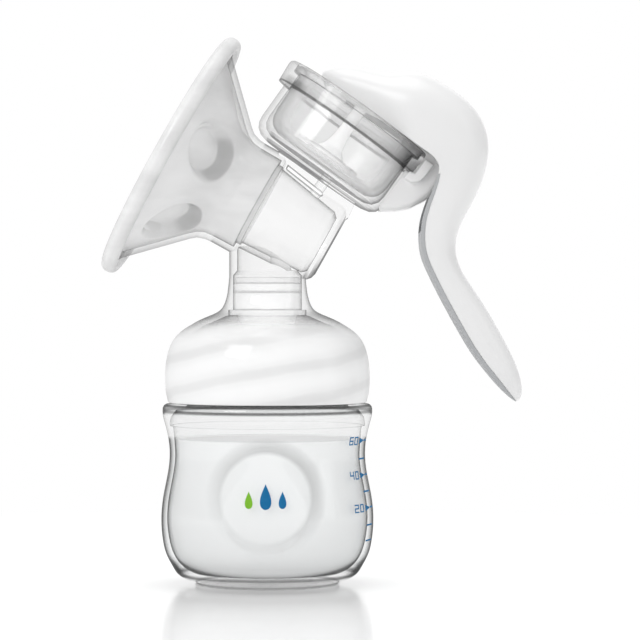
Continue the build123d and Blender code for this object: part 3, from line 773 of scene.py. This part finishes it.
def build_diaphragm():
    diaphragm = turned("diaphragm_skin", diaphragm_profile(), CUP_AT, CUP_AXIS,
                       segments=144, sharp=45)
    diaphragm.data.materials.append(DIAPHRAGM_SILICONE)
    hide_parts("diaphragm")
    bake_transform(diaphragm)


build_diaphragm()

# ------------------------------------------------------------------ milk
PANEL_WALL = 1.7
MILK_GAP = 0.25


def milk_material():
    mat = new_material("milk")
    coords = mat.coords()
    z = mat.xyz(coords)[2]
    soft = mat.noise(coords, scale=25.0, detail=2.0)
    # milk colour, with painted shade darkening it towards the bottom
    tone = mat.ramp(mat.over(z, 0.046), [(0.0, 0.74), (0.12, 0.81), (0.45, 0.88), (1.0, 0.92)])
    tone = mat.mix_color(0.06, tone, mat.ramp(soft, [(0.3, 0.7), (0.7, 0.95)]))
    edge = mat.ramp(mat.facing(), [(0.0, 1.0), (0.45, 0.98), (0.75, 0.90), (0.92, 0.80),
                                   (1.0, 0.6)])
    tone = mat.multiply(tone, edge)
    diffuse = mat.add("ShaderNodeBsdfDiffuse", Color=tone)
    translucent = mat.add("ShaderNodeBsdfTranslucent", Color=tone)
    clear = mat.add("ShaderNodeBsdfTransparent", Color=grey(0.97))
    lit = mat.add_glow(mat.mix(0.35, diffuse, translucent), tone, strength=0.15)
    clearness = 0.15
    body = mat.mix(clearness, lit, clear)
    gloss = mat.add("ShaderNodeBsdfGlossy", Color=grey(0.9), Roughness=0.05)
    return mat.finish_clear(body, gloss, mirror_face=0.03, mirror_edge=0.2, shadow_pass=0.7)


def build_milk():
    """Fill just inside the bottle, pushed back behind the flat panel."""
    floor = [(3.25, 0.0), (3.25, 10.0), (3.3, 18.0), (3.75, 22.8)]
    side = catmull([(4.3, 24.3), (6.1, 26.8), (9.7, 29.4), (14.2, 30.8), (20.6, 31.5),
                    (28.0, 30.9), (34.6, 29.65), (40.6, 28.95), (45.3, 29.15)], 7)
    surface = [(46.2, 29.2), (46.05, 28.7), (45.85, 28.0), (45.8, 26.0), (45.8, 14.0),
               (45.8, 0.0)]
    milk = turned("milk_fill", floor + side + surface, (0, 0, 0), (0, 0, 1),
                  segments=200, sharp=40)
    for vertex in milk.data.vertices:
        x, y, z = (c / MM for c in vertex.co)
        distance = math.hypot(x, z - PANEL_Z)
        if y < 0:
            behind_panel = -(PANEL_FACE - PANEL_WALL - MILK_GAP)
            limit = behind_panel - max(0.0, distance - 15.3) / 1.28
            if y < limit and distance < 26:
                vertex.co.y = limit * MM
    milk.data.update()
    milk.data.materials.append(milk_material())
    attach(milk, "bottle")


build_milk()

# ------------------------------------------------------------------ print on the bottle
UNROLL_RADIUS = 32.0  # distances round the wall are measured at this radius
PATCH_STEP = 0.7
PRINT_BACK = 0.03  # the back of a print stands this far off the surface
PRINT_FRONT = 0.10
WALL_Z, WALL_R = np.array(catmull(BOTTLE_WALL, 10)).T


def ink(name, color):
    """Matt ink, unevenly lightened by fine wear."""
    mat = new_material(name)
    wear = mat.noise(mat.coords(), scale=700.0, detail=3.0)
    worn = [min(1, c * 1.5 + 0.08) for c in color]
    base = mat.mix_color(mat.times(wear, 0.25), (*color, 1), (*worn, 1))
    return mat.finish(mat.add("ShaderNodeBsdfPrincipled", **{
        "Base Color": base, "Roughness": 0.6, "Specular IOR Level": 0.1}))


INK_TEAL = ink("ink_teal", (0.005, 0.14, 0.33))
INK_GREEN = ink("ink_green", (0.20, 0.48, 0.03))


def outline_mesh(points):
    bm = bmesh.new()
    face = bm.faces.new([bm.verts.new(p) for p in points])
    return bm, face


def extruded_verts(bm, faces):
    extruded = bmesh.ops.extrude_face_region(bm, geom=faces)
    return [v for v in extruded["geom"] if isinstance(v, bmesh.types.BMVert)]


def finish_print(bm, name, material):
    bmesh.ops.recalc_face_normals(bm, faces=bm.faces[:])
    mesh = bpy.data.meshes.new(name)
    bm.to_mesh(mesh)
    bm.free()
    ob = link_object(name, mesh)
    mesh.materials.append(material)
    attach(ob, "bottle")


def on_wall(around, z, lift):
    """Point on the wall, around millimetres from +X towards the front."""
    angle = -around / UNROLL_RADIUS
    radius = float(np.interp(z, WALL_Z, WALL_R)) + lift
    return (radius * math.cos(angle) * MM, radius * math.sin(angle) * MM, z * MM)


def wall_patch(outline, name, around, z):
    """Teal (around, z) outline, finely cut, wrapped on the wall, with a hair of thickness."""
    bm, face = outline_mesh([(u, 0.0, v) for u, v in outline])
    bmesh.ops.triangulate(bm, faces=[face])
    normals = ((1.0, 0.0, 0.0), (0.0, 0.0, 1.0))
    for values, normal in zip(zip(*outline), normals):
        cut = min(values) + PATCH_STEP
        while cut < max(values):
            geometry = bm.verts[:] + bm.edges[:] + bm.faces[:]
            bmesh.ops.bisect_plane(bm, geom=geometry, plane_co=[cut * n for n in normal],
                                   plane_no=normal)
            cut += PATCH_STEP
    raised = set(extruded_verts(bm, bm.faces[:]))
    for vertex in bm.verts:
        lift = PRINT_FRONT if vertex in raised else PRINT_BACK
        vertex.co = Vector(on_wall(around + vertex.co.x, z + vertex.co.z, lift))
    finish_print(bm, name, INK_TEAL)


# scale marks from the top down: (z, has an arrowhead)
SCALE_MARKS = [(45.9, True), (40.2, False), (35.1, True), (30.0, False), (24.9, True),
               (19.5, False), (14.6, False)]
TICK_HALF_WIDTH = 0.26
SCALE_LABELS = [("60", 44.7), ("40", 33.9), ("20", 23.7)]  # (text, z of its foot)
LABEL_AROUND = 19.2
DIGIT_PITCH = 3.1
DIGIT_WIDTH, DIGIT_HEIGHT, DIGIT_BAR = 2.3, 2.6, 0.40
# bars a to f run clockwise from the top, g is the middle one
DIGIT_BARS = {"0": "abcdef", "2": "abged", "4": "fgbc", "6": "afgedc"}


def digit_outlines(digit):
    width, height, bar = DIGIT_WIDTH, DIGIT_HEIGHT, DIGIT_BAR
    bars = {
        "a": (0, height - bar, width, height),
        "b": (width - bar, height / 2, width, height),
        "c": (width - bar, 0, width, height / 2),
        "d": (0, 0, width, bar),
        "e": (0, 0, bar, height / 2),
        "f": (0, height / 2, bar, height),
        "g": (0, (height - bar) / 2, width, (height + bar) / 2),
    }
    for key in DIGIT_BARS[digit]:
        x0, z0, x1, z1 = bars[key]
        # digits read towards +X, against the direction of around
        yield [(-x0, z1), (-x1, z1), (-x1, z0), (-x0, z0)]


def print_scale():
    for i, (z, arrow) in enumerate(SCALE_MARKS):
        if arrow:
            wall_patch([(0, -0.95), (-4.2, 0.0), (0, 0.95)], f"scale_mark_{i}", 12.4, z)
        length, around = (4.2, 7.8) if arrow else (5.6, 12.0)
        half = TICK_HALF_WIDTH
        tick = [(0, -half), (-length, -half), (-length, half), (0, half)]
        wall_patch(tick, f"scale_tick_{i}", around, z)
    for label, z in SCALE_LABELS:
        for j, digit in enumerate(label):
            for k, outline in enumerate(digit_outlines(digit)):
                name = f"scale_{label}_{j}_{k}"
                wall_patch(outline, name, LABEL_AROUND - j * DIGIT_PITCH, z)


def panel_drop(name, material, size, x, z):
    """Thin printed drop, point up, on the face of the round panel."""
    points = []
    for k in range(40):
        t = 2 * math.pi * k / 40
        across = size * 0.62 * math.sin(t) * math.sin(t / 2) ** 1.4
        up = size * math.cos(t)
        points.append(((x + across) * MM, (-PANEL_FACE - PRINT_BACK) * MM, (z + up) * MM))
    bm, face = outline_mesh(points)
    thickness = PRINT_FRONT - PRINT_BACK
    bmesh.ops.translate(bm, verts=extruded_verts(bm, [face]), vec=(0, -thickness * MM, 0))
    finish_print(bm, name, material)


print_scale()
panel_drop("mark_drop_mid", INK_TEAL, size=4.0, x=0.0, z=29.6)
panel_drop("mark_drop_left", INK_GREEN, size=2.7, x=-5.2, z=28.6)
panel_drop("mark_drop_right", INK_TEAL, size=2.7, x=5.2, z=28.6)


# ------------------------------------------------------------------ floor, world, light, camera
def build_floor():
    """Glossy disc with a painted shadow, darker under the bottle, fading into plain white further
    out.
    """
    mat = new_material("floor_shadowed")
    coords = mat.coords()
    length = mat.add("ShaderNodeVectorMath", {"operation": "LENGTH"})
    mat.put(length, 0, coords)
    distance = length.outputs["Value"]
    far = mat.math("DIVIDE", mat.minus(distance, 0.10), 0.22, clamp=True)
    # painted contact shadow: the floor's colour darkens towards the bottle
    tone = mat.ramp(mat.over(distance, 0.10), [
        (0.0, 0.55), (0.30, 0.66), (0.42, 0.82), (0.62, 0.91), (1.0, 0.94)])
    floor_and_shadow = mat.add("ShaderNodeBsdfPrincipled", **{
        "Base Color": tone, "Roughness": 0.16, "Specular IOR Level": 0.35})
    white = mat.add("ShaderNodeEmission", Color=grey(1.0), Strength=1.0)
    material = mat.finish(mat.mix(far, floor_and_shadow, white))
    radius, sides, drop = 12.0, 64, 0.0003
    angles = [2 * math.pi * k / sides for k in range(sides)]
    verts = [(radius * math.cos(a), radius * math.sin(a), -drop) for a in angles]
    mesh = bpy.data.meshes.new("floor")
    mesh.from_pydata(verts, [], [tuple(range(sides))])
    ob = link_object("floor", mesh)
    mesh.materials.append(material)


def build_world():
    """White to the camera; everything else is lit by a soft gradient, brighter above."""
    world = bpy.data.worlds.new("studio")
    bpy.context.scene.world = world
    sky = Graph(world, "ShaderNodeOutputWorld")
    backdrop = sky.add("ShaderNodeBackground", Color=grey(1), Strength=1.0)
    up = sky.xyz(sky.add("ShaderNodeTexCoord").outputs["Generated"])[2]
    gradient = sky.ramp(sky.math("MULTIPLY_ADD", up, 0.5, 0.5),
                        [(0.0, (0.55, 0.55, 0.56)), (1.0, 1.0)])
    surroundings = sky.add("ShaderNodeBackground", Color=gradient, Strength=0.74)
    camera_ray = sky.add("ShaderNodeLightPath").outputs["Is Camera Ray"]
    sky.finish(sky.mix(camera_ray, surroundings, backdrop))


def aim(ob, target):
    ob.rotation_euler = (Vector(target) - ob.location).to_track_quat("-Z", "Y").to_euler()


def area_light(name, location, width, height, power):
    light = bpy.data.lights.new(name, "AREA")
    light.shape = "RECTANGLE"
    light.size = width
    light.size_y = height
    light.energy = power
    ob = link_object(name, light)
    ob.location = location
    aim(ob, (0, 0, 0.10))
    ob.visible_camera = False


def build_camera():
    data = bpy.data.cameras.new("camera")
    data.sensor_width = 36.0
    data.lens = 159.4
    data.clip_end = 30.0
    camera = link_object("camera", data)
    camera.location = (0.0167, -0.900, 0.0900)
    aim(camera, (0.0167, 0.0, 0.0837))
    bpy.context.scene.camera = camera


build_floor()
build_world()
area_light("key", (-0.55, -0.75, 0.75), width=0.5, height=0.5, power=3.6)
area_light("top", (0.05, 0.10, 0.95), width=0.7, height=0.7, power=2.2)
area_light("side", (0.95, -0.25, 0.35), width=0.35, height=0.7, power=0.6)
area_light("back", (0.0, 0.9, 0.35), width=0.9, height=0.9, power=1.6)
build_camera()

scene = bpy.context.scene
scene.view_settings.view_transform = "Standard"
scene.view_settings.look = "None"
scene.cycles.transparent_max_bounces = 48
scene.cycles.max_bounces = 14
scene.cycles.use_denoising = True
